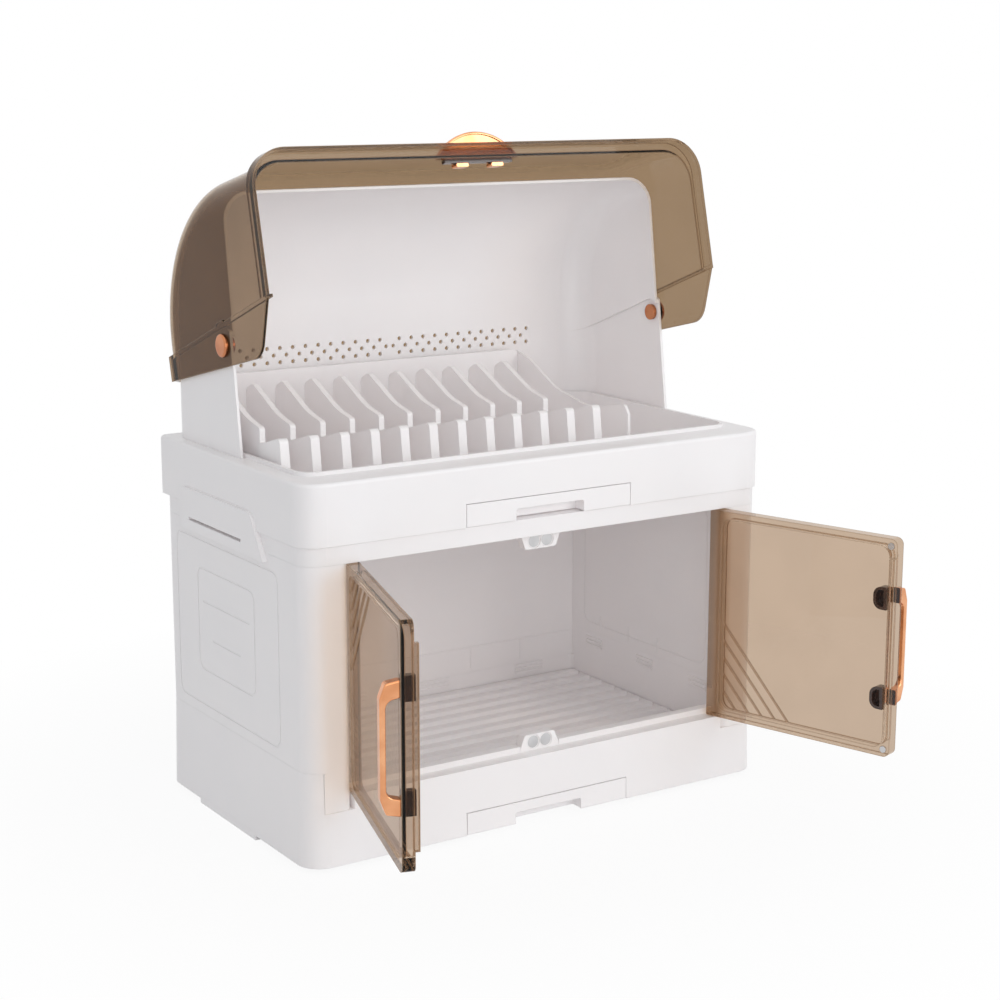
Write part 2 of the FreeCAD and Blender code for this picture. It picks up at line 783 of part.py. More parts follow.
def make_top_frame():
    """Ring that ties the walls together: the lintel over the doorway, and the seat of the tray."""
    body = new_body("top_frame")
    skin = s.skin
    pad(body, "ring", "XY", wall_top, s.top_frame_height,
        box_corners(-body_side, body_side, body_front, body_rear, wall_radius))
    pocket(body, "room", "XY", wall_top - 1, s.top_frame_height + 2,
           box_corners(-room_side, room_side, doorway_rear, room_rear, s.corner_radius / 4))
    side = box_corners(room_side + skin, body_side - skin, doorway_rear, room_rear)
    pocket(body, "side_channels", "XY", wall_top + skin, s.top_frame_height, side, mirrored_x(side))
    lintel = box_corners(drawer_side + skin, lintel_side, body_front + skin, doorway_rear - skin)
    pocket(body, "lintel_channels", "XY", wall_top + skin, s.top_frame_height, lintel, mirrored_x(lintel))
    pocket(body, "hinge_bores", "XY", wall_top, s.door_pin_length, circles=hinge_bores())
    slot = grip_slot()
    pocket(body, "right_hand_slot", "YZ", body_side - 2 * skin, 3 * skin, slot)
    pocket(body, "left_hand_slot", "YZ", -body_side - skin, 3 * skin, slot)
    return body


def tray_outline(out):
    """Outline of the sunk tray, moved outwards. Its rear corners follow the hood's rounder ones."""
    side, front, rear = tray_side + out, tray_front - out, tray_rear + out
    return [(-side, front, s.tray_inner_radius + out), (side, front, s.tray_inner_radius + out),
            (side, rear, s.tray_rear_round + out), (-side, rear, s.tray_rear_round + out)]


def make_tray():
    """Upper tray: a deep band with a rolled ledge, a low lip, a sunk floor and a bay for its drawer."""
    body = new_body("upper_tray")
    skin = s.skin
    front, rear = s.corner_radius, s.tray_rear_radius
    band = pad(body, "band", "XY", frame_top, s.tray_height,
               [(-half_width, -half_depth, front), (half_width, -half_depth, front),
                (half_width, half_depth, rear), (-half_width, half_depth, rear)])
    dress(body, "Fillet", "band_edge", band, s.tray_edge_round,
          lambda edge: edge.BoundBox.ZMin > ledge.value - 0.1)
    lip = s.tray_lip_width
    pad(body, "lip", "XY", ledge - 1, s.tray_lip_rise + 1, tray_outline(lip))
    pocket(body, "tray_room", "XY", tray_floor, s.tray_height, tray_outline(0))
    pocket(body, "underside", "XY", frame_top - 1, tray_floor - skin - frame_top + 1,
           box_corners(-half_width + skin, half_width - skin, -half_depth + skin, half_depth - skin,
                       s.corner_radius - skin))
    side = box_corners(tray_side + lip, half_width - skin, tray_front, tray_rear)
    ends = box_corners(-tray_side, tray_side, -half_depth + skin, tray_front - lip)
    pocket(body, "band_cavities", "XY", tray_floor - skin - 1, ledge - skin - tray_floor + skin + 1,
           side, mirrored_x(side), ends)
    bay = drawer_side + s.drawer_gap
    pocket(body, "drawer_mouth", "XY", frame_top - 1, s.drawer_height + 2 * s.drawer_gap + 1,
           box_corners(-bay, bay, -s.overall_depth, -half_depth + skin + 1))
    return body


pivot_y, pivot_z = s.pivot_depth, s.pivot_height
hood_side = half_width - s.hood_set_in
lid_side = hood_side + s.lid_side_gap
hood_top = ledge + s.hood_height


def hood_side_view(inset, foot, front_shift):
    """Side view of the hood, drawn in by inset, down to the level foot."""
    rear, top = s.hood_rear - inset, hood_top - inset
    lean = (s.hood_front_top + s.hood_front_foot) / s.hood_height
    at_top = s.hood_front_top - lean * inset - front_shift
    at_foot = -s.hood_front_foot - lean * (ledge - foot) - front_shift
    return [(rear, foot), (rear, top, s.hood_round - inset), (at_top, top), (at_foot, foot)]


def step_corner(reach):
    """Where the step lines of the open and the shut lid cross, reach from the pivot."""
    middle = s.lid_step_angle + 90 - s.lid_open_angle / 2
    away = reach / cosine(s.lid_open_angle / 2)
    return pivot_y + away * cosine(middle), pivot_z + away * sine(middle)


def is_lean(edge):
    """Is this an edge of the hood's leaning front?"""
    box = edge.BoundBox
    return box.YLength > 5 and box.ZLength > 100 and box.YMax < 30


def hood_form(name, inset, foot, front_shift, edge_round):
    """The hood's outer or inner form: a narrow part with rounded edges, and wider cheeks below it."""
    upper_side = hood_side - s.hood_step - inset
    narrow = new_body(f"{name}_narrow")
    block = pad(narrow, "block", "YZ", -upper_side, 2 * upper_side,
                hood_side_view(inset, foot, front_shift))

    def long_edge(edge):
        box = edge.BoundBox
        on_side = box.XLength < 0.01 and abs(box.XMax) > upper_side.value - 0.01
        return on_side and not is_lean(edge) and box.ZMax > foot.value + 1

    dress(narrow, "Fillet", "long_edges", block, edge_round, long_edge)

    wide = new_body(f"{name}_wide")
    side, rear = hood_side - inset, s.hood_rear - inset
    corner = s.hood_rear_corner - inset
    pad(wide, "plan", "XY", foot, pivot_z + 2 * s.lid_step_reach - foot,
        [(-side, -s.hood_front_foot * 2), (side, -s.hood_front_foot * 2), (side, rear, corner),
         (-side, rear, corner)])
    reach = s.lid_step_reach - s.lid_step_gap - inset
    corner_y, corner_z = step_corner(reach)
    slope = s.lid_step_angle - s.lid_open_angle
    far = 2 * s.hood_rear
    above = 2 * s.hood_height
    down = corner_z - foot + 1
    rear_z = corner_z + (far - corner_y) * sine(slope) / cosine(slope)
    foot_y = corner_y - down * cosine(s.lid_step_angle) / sine(s.lid_step_angle)
    pocket(wide, "above_step", "YZ", -s.overall_width, 2 * s.overall_width,
           [(foot_y, foot - 1), (corner_y, corner_z, reach), (far, rear_z), (far, corner_z + above),
            (-far, corner_z + above), (-far, foot - 1)])
    if front_shift.value == 0:
        front = hood_side_view(inset, foot - 1, front_shift)
        pocket(wide, "lean", "YZ", -s.overall_width, 2 * s.overall_width,
               [front[3], front[2], (-far, hood_top), (-far, foot - 1)])
    form = doc.addObject("Part::MultiFuse", f"{name}_form")
    form.Shapes = [narrow, wide]
    doc.recompute()
    return form


def make_hood():
    """Open-fronted hood over the rear half of the tray, vented at the back, stepped in for the lid."""
    outer = hood_form("hood_outer", as_size(0), ledge, as_size(0), s.hood_edge_round)
    inner = hood_form("hood_inner", s.hood_skin, ledge - 10, as_size(10), s.hood_inner_round)
    shell = doc.addObject("Part::Cut", "hood_shell")
    shell.Base, shell.Tool = outer, inner
    doc.recompute()
    body = new_body("hood")
    body.BaseFeature = shell
    doc.recompute()
    pocket(body, "pivot_holes", "YZ", -s.overall_width, 2 * s.overall_width,
           circles=[(pivot_y, pivot_z, s.pivot_pin_radius + s.pivot_clearance)])
    low = ledge + s.vent_height - s.vent_row_gap
    for side, name in ((1, "right"), (-1, "left")):
        spots = [(side * x, low + row * s.vent_row_gap, s.vent_radius)
                 for row, x in enumerate((s.vent_first, s.vent_first - s.vent_pitch / 2, s.vent_first))]
        vents = pocket(body, f"{name}_vent", "XZ", s.hood_rear - 2 * s.hood_skin, 3 * s.hood_skin,
                       circles=spots)
        repeat(body, f"{name}_vents", [vents], "X", s.vent_pitch, s.vent_columns, side < 0)
    return body


def lid_u(out, inner):
    """Plan outline of a band round the lid's front and sides, open behind."""
    rear = -s.lid_drop * cosine(s.lid_step_angle) / sine(s.lid_step_angle) - s.lid_step_reach
    outer_side, outer_front, outer_round = out
    side, front, bend = inner
    return [(-outer_side, rear), (-outer_side, -outer_front, outer_round),
            (outer_side, -outer_front, outer_round), (outer_side, rear), (side, rear),
            (side, -front, bend), (-side, -front, bend), (-side, rear)]


def lid_side_strip(front, low, high):
    """Side view of the part of the lid behind a line parallel to its step line."""
    lean = cosine(s.lid_step_angle) / sine(s.lid_step_angle)
    start = -front / sine(s.lid_step_angle)
    return [(start + low * lean, low), (s.lid_rear, low), (s.lid_rear, high), (start + high * lean, high)]


def beside_step(along, away):
    """A point of the shut lid's side view: along its step line from the pivot, and away from it."""
    angle = s.lid_step_angle
    along = as_size(along)
    return along * cosine(angle) - away * sine(angle), along * sine(angle) + away * cosine(angle)


def lid_form(name, inset, low):
    """The lid's outer or inner form, shut, with its long edges rounded."""
    form = new_body(name)
    side, rear = lid_side - inset, s.lid_rear + 2 * inset
    top, front, bend = s.lid_radius - inset, inset - s.lid_front, s.lid_radius - 4 - inset
    block = pad(form, "block", "YZ", -side, 2 * side,
                [(rear, low), (rear, top), (front, top, bend), (front, low)])

    def long_edge(edge):
        box = edge.BoundBox
        on_side = box.XLength < 0.01 and abs(abs(box.XMax) - side.value) < 0.01
        return on_side and box.ZMax > low.value + 1 and box.YMin < rear.value - 1

    dress(form, "Fillet", "long_edges", block, s.lid_edge_round - inset, long_edge)
    return form


def make_lid():
    """Tinted shell drawn shut about its pivot, with a hem and side flaps set out by a joggle."""
    skin, side = s.lid_skin, lid_side
    low = s.hem_height - s.lid_drop
    outer = lid_form("lid_outer", as_size(0), low)
    inner = lid_form("lid_inner", skin, low - 5)
    shell = doc.addObject("Part::Cut", "lid_wall")
    shell.Base, shell.Tool = outer, inner
    doc.recompute()
    body = new_body("lid_shell")
    body.BaseFeature = shell
    doc.recompute()

    joggle_side = side + s.lid_joggle
    front_low, rear_low, rear_high, front_high = lid_side_strip(s.lid_step_reach, low, s.flap_top)
    cut = [(front_low[0], front_low[1] - 1), (rear_low[0] + 1, rear_low[1] - 1),
           (rear_high[0] + 1, rear_high[1]), front_high]
    pocket(body, "right_flap_gap", "YZ", side - 2 * skin, 3 * skin, cut)
    pocket(body, "left_flap_gap", "YZ", -side - skin, 3 * skin, cut)

    flap_low = -s.lid_drop
    strip = lid_side_strip(s.lid_step_reach + skin, flap_low, s.flap_top + skin)
    flap = [strip[0], (s.lid_rear, flap_low + s.flap_rise, s.flap_round), strip[2], strip[3]]
    web = [strip[0], lid_side_strip(s.lid_step_reach, flap_low, s.flap_top)[0],
           lid_side_strip(s.lid_step_reach, flap_low, s.flap_top)[3], (s.lid_rear, s.flap_top),
           strip[2], strip[3]]
    layers = (("flap_web", side - skin, skin + s.lid_joggle, web), ("flap", joggle_side - skin, skin, flap))
    for name, start, width, corners in layers:
        pad(body, f"right_{name}", "YZ", start, width, corners)
        pad(body, f"left_{name}", "YZ", -start - width, width, corners)

    joggled = (joggle_side, s.hem_front, s.lid_edge_round + s.lid_joggle)
    hem_inner = (joggle_side - skin, s.hem_front - skin, s.lid_edge_round + s.lid_joggle - skin)
    main_inner = (side - skin, s.lid_front - skin, s.lid_edge_round - skin)
    pad(body, "hem", "XY", flap_low, s.hem_height + 0.5, lid_u(joggled, hem_inner))
    pad(body, "hem_web", "XY", low, skin, lid_u(joggled, main_inner))
    foot, half, crest = s.lid_step_reach + skin / 2, s.lid_bump_width / 2, s.lid_bump_crest / 2
    bump = [beside_step(-half, foot), beside_step(half, foot),
            (*beside_step(crest, s.lid_bump_reach), s.lid_bump_round),
            (*beside_step(-crest, s.lid_bump_reach), s.lid_bump_round)]
    pad(body, "right_bump", "YZ", side - 0.5, s.lid_joggle + 0.5, bump)
    pad(body, "left_bump", "YZ", -side - s.lid_joggle, s.lid_joggle + 0.5, bump)
    pocket(body, "pivot_holes", "YZ", -s.overall_width, 2 * s.overall_width,
           circles=[(0, 0, s.pivot_pin_radius)])
    place(body, 0, pivot_y, pivot_z, (1, 0, 0), -s.lid_open_angle)
    return body


def make_pivot(name, side):
    """Headed pin fixed in the lid's flap, turning in the hood's cheek behind an inner head."""
    body = new_body(name)
    flap_face = lid_side + s.lid_joggle
    hood_inner = hood_side - s.hood_skin
    inner_end = hood_inner - s.joint_gap - s.pivot_head_depth
    tip = flap_face + s.pivot_head_depth

    def disc(title, start, length, radius):
        first = start if side > 0 else -start - length
        return pad(body, title, "YZ", first, length, circles=[(0, 0, radius)])

    disc("pin", inner_end, tip - inner_end, s.pivot_pin_radius)
    disc("inner_head", inner_end, s.pivot_head_depth, s.pivot_inner_head_radius)
    head = disc("outer_head", flap_face, s.pivot_head_depth, s.pivot_head_radius)
    dress(body, "Fillet", "head_edge", head, s.pivot_head_depth * 0.6,
          lambda edge: edge.BoundBox.YLength > 2 * s.pivot_head_radius.value - 0.1
          and abs(edge.BoundBox.XMax) > tip.value - 0.01)
    place(body, 0, pivot_y, pivot_z, (1, 0, 0), -s.lid_open_angle)
    return body


def make_lid_handle():
    """Bow-shaped pull tab that stands out of the lid's front wall above the hem."""
    body = new_body("lid_handle")
    wall, half = -s.lid_front, s.lid_handle_width / 2
    low = s.lid_handle_rise - s.lid_drop
    radius = (half * half + s.lid_handle_reach * s.lid_handle_reach) / (2 * s.lid_handle_reach)
    pad(body, "bow", "XY", low, s.lid_handle_height,
        circles=[(0, wall - s.lid_handle_reach + radius, radius)])
    bow = pocket(body, "wall_side", "XY", low - 1, s.lid_handle_height + 2,
                 box_corners(-2 * radius, 2 * radius, wall, wall + 2 * radius))
    dress(body, "Fillet", "bow_edge", bow, s.lid_handle_height / 5,
          lambda edge: edge.BoundBox.YLength > 1 and edge.BoundBox.ZLength < 0.01)
    pocket(body, "finger_dish", "XY", low - 1, s.lid_handle_dish + 1,
           circles=[(0, wall - s.lid_handle_reach + radius, radius - s.lid_handle_rim)])
    place(body, 0, pivot_y, pivot_z, (1, 0, 0), -s.lid_open_angle)
    return body


def make_lid_bracket():
    """Dark bar inside the lid's front wall, behind the handle."""
    body = new_body("lid_handle_bracket")
    inside, half = -s.lid_front + s.lid_skin, s.lid_bracket_width / 2
    pad(body, "bar", "XY", s.lid_handle_rise - s.lid_drop, s.lid_bracket_height,
        box_corners(-half, half, inside, inside + s.lid_bracket_depth, s.lid_clip_round / 2))
    place(body, 0, pivot_y, pivot_z, (1, 0, 0), -s.lid_open_angle)
    return body


def make_lid_clips():
    """Two plated clips on the bracket that hold the handle."""
    body = new_body("lid_handle_clips")
    middle = -s.lid_front + s.lid_skin + s.lid_bracket_depth + s.lid_clip_depth / 2
    low = s.lid_handle_rise + (s.lid_bracket_height - s.lid_clip_height) / 2 - s.lid_drop
    spots = [box_about(x, middle, s.lid_clip_width, s.lid_clip_depth, s.lid_clip_round)
             for x in (-s.lid_clip_spacing / 2, s.lid_clip_spacing / 2)]
    pad(body, "clips", "XY", low, s.lid_clip_height, *spots)
    place(body, 0, pivot_y, pivot_z, (1, 0, 0), -s.lid_open_angle)
    return body


door_low = sill_top + s.door_gap
door_high = wall_top - s.door_gap
door_middle = (door_low + door_high) / 2
door_half = (door_high - door_low) / 2


def turned(corners, side):
    """A door outline as drawn for the left door, or turned half round in its plane for the right one."""
    if side < 0:
        return corners
    return [(-as_size(c[0]), -as_size(c[1])) + tuple(c[2:]) for c in corners]


def hang(body, side):
    """Hang a door piece on its hinge axis, open."""
    angle = s.door_open_angle if side > 0 else -s.door_open_angle
    place(body, side * door_axis, door_axis_line, door_middle, (0, 0, 1), angle)


def strike_spots(side):
    """The corners of a shut door that meet the catches' magnets."""
    x = door_axis - s.magnet_spacing / 2
    return [(x if side < 0 else -x, z, s.strike_radius)
            for z in (s.strike_inset - door_half, door_half - s.strike_inset)]


def make_door(name, side):
    """Tinted door, drawn shut about its hinge, with a sunk panel, braces, an edge rib and hinge pins."""
    body = new_body(name)
    half = s.door_thickness / 2
    reach, height = door_reach, door_half
    pad(body, "barrel", "XY", -height, 2 * height, circles=[(0, 0, half)])
    corner = s.door_corner
    pad(body, "slab", "XZ", -half, s.door_thickness,
        turned([(0, -height), (reach, -height, corner), (reach, height, corner), (0, height)], side))
    window = box_corners(s.door_hinge_bar - half, reach - s.door_rim, -height + s.door_rim,
                         height - s.door_rim, s.door_window_corner)
    pocket(body, "outer_recess", "XZ", -half - 1, s.door_recess + 1, turned(window, side))
    inside = -half + s.door_recess + s.door_panel
    pocket(body, "inner_recess", "XZ", inside, s.door_thickness, turned(window, side))
    left, top = s.door_hinge_bar - half, height - s.door_rim
    width = s.door_brace_width
    braces = []
    for k in range(1, 6):
        run, rise = k * s.door_brace_run, k * s.door_brace_rise
        braces.append([(left - 1, top - rise), (left - 1, top - rise - width * 1.5),
                       (left + run + width, top + 1), (left + run, top + 1)])
    pad(body, "braces", "XZ", -half + s.door_recess - s.door_brace_proud, s.door_brace_proud + 0.5,
        *[turned(corners, side) for corners in braces])
    rib = box_corners(reach - s.door_edge_rib_width, reach, -height + s.door_edge_rib_inset,
                      height - s.door_edge_rib_inset)
    pad(body, "edge_rib", "XZ", half - 0.5, s.door_edge_rib + 0.5, turned(rib, side))
    pin = s.door_pin_length
    pad(body, "lower_pin", "XY", -height - pin, pin + 1, circles=[(0, 0, s.door_pin_radius)])
    pad(body, "upper_pin", "XY", height - 1, pin + 1, circles=[(0, 0, s.door_pin_radius)])
    pocket(body, "strike_seats", "XZ", half - s.strike_seat, s.strike_seat + 1,
           circles=strike_spots(side))
    hang(body, side)
    return body


def make_door_handle(name, side):
    """Bow handle on the outer face at the door's free edge."""
    body = new_body(name)
    face = -s.door_thickness / 2
    half, out = s.handle_length / 2, face - s.handle_reach
    thick, end, taper = s.handle_thickness, s.handle_end, s.handle_taper
    tip, turn = half - taper / 2, half - end - thick / 2
    bow = [(face, half), (out + taper, tip, 3), (out, half - end, 6), (out, end - half, 6),
           (out + taper, -tip, 3), (face, -half), (face, end - half), (out + thick, -turn, s.handle_bend),
           (out + thick, turn, s.handle_bend), (face, half - end)]
    near = door_reach - s.handle_inset - s.handle_width
    start = near if side < 0 else -near - s.handle_width
    grip = pad(body, "bow", "YZ", start, s.handle_width, bow)
    dress(body, "Fillet", "bow_edges", grip, 1.2,
          lambda edge: edge.BoundBox.XLength < 0.01 and edge.BoundBox.YMax < face.value - 0.5)
    hang(body, side)
    return body


def make_sockets(name, side):
    """Two half-round cups inside the door that hold the ends of its handle."""
    body = new_body(name)
    inside = -s.door_thickness / 2 + s.door_recess + s.door_panel
    right = door_reach - s.door_rim
    offset = s.handle_length / 2 - s.handle_end * 0.6
    rounding = s.socket_width * 0.6
    cups, rooms = [], []

    def cup(middle, inset):
        low, high = middle - s.socket_length / 2 + inset, middle + s.socket_length / 2 - inset
        near, far, bend = right - s.socket_width + inset, right - inset, rounding - inset
        return turned([(near, low, bend), (far, low), (far, high), (near, high, bend)], side)

    for z in (-offset, offset):
        cups.append(cup(z, 0))
        rooms.append(cup(z, s.socket_width / 5))
    pad(body, "cups", "XZ", inside, s.socket_height, *cups)
    pocket(body, "cup_rooms", "XZ", inside + 2, s.socket_height, *rooms)
    hang(body, side)
    return body


def make_strikes(name, side):
    """Two steel discs set in the door's inner face that meet the catch magnets."""
    body = new_body(name)
    pad(body, "discs", "XZ", s.door_thickness / 2 - s.strike_seat, s.strike_seat + s.strike_proud,
        circles=strike_spots(side))
    hang(body, side)
    return body


catch_front = doorway_rear
catch_depth = s.sill_stop_depth
lower_magnet = door_low + s.strike_inset
upper_magnet = door_high - s.strike_inset


def make_catch(name, magnet_level, base, root, tip):
    """Catch block behind the doorway, narrowed towards its tip and bored for its two magnets."""
    body = new_body(name)
    wide, narrow = s.catch_width / 2, s.catch_tip_width / 2
    pad(body, "block", "XZ", catch_front, catch_depth,
        [(-wide, base), (wide, base), (wide, root), (narrow, tip, s.catch_round),
         (-narrow, tip, s.catch_round), (-wide, root)])
    spots = [-s.magnet_spacing / 2, s.magnet_spacing / 2]
    for x, hand in zip(spots, ("left", "right")):
        pocket(body, f"{hand}_magnet_rim", "XZ", catch_front - 1, s.magnet_recess + 1,
               circles=[(x, magnet_level, s.magnet_radius + s.magnet_rim)])
    pocket(body, "magnet_bores", "XZ", catch_front - 1, s.magnet_recess + s.magnet_depth + 1,
           circles=[(x, magnet_level, s.magnet_radius) for x in spots])
    return body


def make_magnets(name, level):
    """The pair of round magnets of one catch."""
    body = new_body(name)
    spots = [(x, level, s.magnet_radius) for x in (-s.magnet_spacing / 2, s.magnet_spacing / 2)]
    pad(body, "discs", "XZ", catch_front + s.magnet_recess, s.magnet_depth, circles=spots)
    return body


def make_plate_rack():
    """Lift-out rack: a slotted floor, a back upstand, hooked ribs that stand the plates, an end wall."""
    body = new_body("plate_rack")
    floor = tray_floor + s.rack_plate
    left, right = s.rack_side_gap - tray_side, s.rack_right
    first = left + s.rib_inset
    pad(body, "floor", "XY", tray_floor, s.rack_plate,
        [(left, -s.rack_front, s.rack_corner), (right, -s.rack_front, s.rack_corner),
         (right, s.rack_rear), (left, s.rack_rear, s.rack_rear_round)])
    upstand_left, upstand_top = left + s.rack_rear_round, tray_floor + s.upstand_height
    pad(body, "upstand", "XZ", s.rack_rear - s.upstand_width, s.upstand_width,
        [(upstand_left, floor - 1), (right, floor - 1), (right, upstand_top, s.upstand_round),
         (upstand_left, upstand_top, s.upstand_round)])
    fin_top = (-s.fin_front, tray_floor + s.fin_height, s.fin_round)
    saddle = tray_floor + s.saddle_height
    peak = tray_floor + s.tooth_height
    tooth = [(-s.fin_foot, floor - 1), (s.tooth_rear, floor - 1), (s.tooth_rear, peak - s.tooth_slope, 6),
             (s.tooth_peak, peak, s.tooth_round), (s.tooth_dip, tray_floor + s.dip_height, s.dip_round),
             (-s.fin_rear, tray_floor + s.knee_height, 3), (-s.fin_rear, saddle, 2), fin_top]
    rib = pad(body, "rib", "YZ", first - s.rib_width / 2, s.rib_width, tooth)
    repeat(body, "ribs", [rib], "X", s.rib_pitch, s.rib_count)
    fin = pad(body, "fin", "YZ", first - s.fin_width / 2, s.fin_width,
              [(-s.fin_foot, floor - 1), (-s.fin_rear, floor - 1), (-s.fin_rear, saddle), fin_top])
    repeat(body, "fins", [fin], "X", s.rib_pitch, s.rib_count + 1)
    end = [(-s.rack_front, floor - 1), (s.rack_rear, floor - 1), (s.rack_rear, upstand_top - 2),
           (s.end_shoulder, upstand_top - s.end_shoulder_drop, s.end_shoulder_round),
           (s.end_slope, tray_floor + s.end_slope_height, s.end_slope_round),
           (s.end_dip, saddle - 1, s.end_slope_round),
           (-s.fin_front - 2, tray_floor + s.fin_height - 2, s.end_front_round),
           (-s.rack_front, saddle)]
    pad(body, "end_wall", "YZ", right - s.upstand_width, s.upstand_width, end)
    slot_x = first + s.rib_pitch / 2
    slot = pocket(body, "floor_slot", "XY", tray_floor - 1, s.rack_plate + 2,
                  box_about(slot_x, 0, s.rack_slot_width, s.rack_slot_length, s.rack_slot_width / 3))
    repeat(body, "floor_slots", [slot], "X", s.rib_pitch, s.rib_count + 1)
    return body


def make_grille():
    """Lift-out drain floor of the cabinet: cross ribs over a slotted plate, on low rails."""
    body = new_body("drain_grille")
    gap, low = s.grille_gap, floor_top
    plate = low + s.grille_rail_height
    side, front, rear = room_side - gap, stop_rear + gap, room_rear - gap
    rails = [box_about(x, (front + rear) / 2, s.skin, rear - front - 12)
             for x in (-side + 6, -side / 3, side / 3, side - 6)]
    pad(body, "rails", "XY", low, s.grille_rail_height + 0.5, *rails)
    pad(body, "plate", "XY", plate, s.grille_plate, box_corners(-side, side, front, rear, 5))
    pitch = s.grille_rib_pitch
    first = front + pitch * 0.7
    rib = pad(body, "rib", "XY", plate + s.grille_plate - 0.5, s.grille_rib_height + 0.5,
              box_about(0, first, 2 * side - 14, s.grille_rib_width))
    repeat(body, "ribs", [rib], "Y", pitch, 11)
    spots = [box_about(x, first + pitch / 2, s.grille_slot_length, s.grille_slot_width,
                       s.grille_slot_width / 3)
             for x in (-side * 0.67, as_size(0), side * 0.67)]
    slots = pocket(body, "slot", "XY", plate - 1, s.grille_plate + 2, *spots)
    repeat(body, "slots", [slots], "Y", pitch, 10)
    return body


def make_grip(name, side):
    """Lift grip on the side: a plate that laps the wall and the tray band over a finger slot."""
    body = new_body(name)
    face = half_width + s.grip_proud
    low = grip_low
    front, rear = -s.grip_front, s.grip_rear
    plate = [(front, low), (rear, low), (rear, frame_top), (front + s.grip_slope * 0.6, frame_top)]
    tab = [(front + s.grip_slope * 0.6, frame_top - 0.5), (rear, frame_top - 0.5),
           (rear, s.grip_top, s.grip_round), (front + s.grip_slope, s.grip_top, s.grip_round)]
    lower = body_side if side > 0 else -face
    upper = half_width if side > 0 else -face
    pad(body, "plate", "YZ", lower, face - body_side, plate)
    pad(body, "tab", "YZ", upper, s.grip_proud, tab)
    pocket(body, "slot", "YZ", lower - 1, s.side_wall_depth, grip_slot())
    return body


parts = [
    make_base_frame(),
    make_feet(),
    make_side_wall("left_wall_panel", -1),
    make_side_wall("right_wall_panel", 1),
    make_back_wall(),
    make_top_frame(),
    make_tray(),
    make_hood(),
    make_plate_rack(),
    make_grille(),
    make_drawer("lower_drawer", base_bottom),
    make_drawer("upper_drawer", frame_top),
    make_runners("lower_drawer_runners", base_bottom, floor_under),
    make_runners("upper_drawer_runners", frame_top, tray_floor - s.skin),
    make_grip("left_lift_grip", -1),
    make_grip("right_lift_grip", 1),
    make_catch("upper_catch_body", upper_magnet, wall_top + s.catch_tail, wall_top - s.catch_root_height,
               wall_top - s.catch_height),
    make_magnets("upper_catch_magnets", upper_magnet),
    make_catch("lower_catch_body", lower_magnet, sill_top, sill_top + s.catch_root_height,
               sill_top + s.catch_height),
    make_magnets("lower_catch_magnets", lower_magnet),
    make_lid(),
    make_lid_handle(),
    make_lid_bracket(),
    make_lid_clips(),
    make_pivot("left_lid_pivot", -1),
    make_pivot("right_lid_pivot", 1),
]
for hand, way in (("left", -1), ("right", 1)):
    parts.append(make_door(f"{hand}_door", way))
    parts.append(make_door_handle(f"{hand}_door_handle", way))
    parts.append(make_sockets(f"{hand}_handle_sockets", way))
    parts.append(make_strikes(f"{hand}_door_strikes", way))

doc.recompute()
failed = [item.Name for item in doc.Objects if "Invalid" in item.State or "Error" in item.State]
if failed:
    raise RuntimeError(f"failed objects: {failed}")
for part in parts:
    if part.Shape.isNull() or not part.Shape.isValid():
        raise RuntimeError(f"{part.Label} has no valid shape")

os.makedirs("parts", exist_ok=True)
for part in parts:
    part.Shape.exportStep(os.path.join("parts", f"{part.Label}.step"))
    print(part.Label, round(part.Shape.Volume), len(part.Shape.Solids))
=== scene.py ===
"""Looks of the two-tier dish rack: moulded white plastic, smoky clear doors and lid, plated handles.

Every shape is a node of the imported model, in metres, +Z up, with the doors on the -Y side. This script
gives each node its material, and adds the floor, the studio light and the camera.
"""

import math

import bpy
from mathutils import Euler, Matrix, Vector

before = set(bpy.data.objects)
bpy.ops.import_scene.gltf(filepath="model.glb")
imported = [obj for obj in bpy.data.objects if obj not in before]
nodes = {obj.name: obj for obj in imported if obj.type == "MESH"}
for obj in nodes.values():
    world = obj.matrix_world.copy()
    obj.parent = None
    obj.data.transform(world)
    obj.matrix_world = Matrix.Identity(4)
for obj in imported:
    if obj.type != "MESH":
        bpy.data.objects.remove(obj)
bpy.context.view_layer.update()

MM = 0.001
# Width of the painted shade along the rims of clear plastic, and how far its softened normal turns from
# flat (cosines)
SHADED_RIM_BAND = 1.8 * MM
FLAT_COSINE, RIM_COSINE = 0.995, 0.88
# The middle of the rack, where the lamps point, and half the floor's width, in metres
AIM = (0, 0, 0.25)
FLOOR_HALF_SIZE = 12.0
# Enough bounces for light inside the white cabinet and through several clear panels
LIGHT_BOUNCES = {"max_bounces": 24, "diffuse_bounces": 12, "transmission_bounces": 24,
                 "transparent_max_bounces": 24}


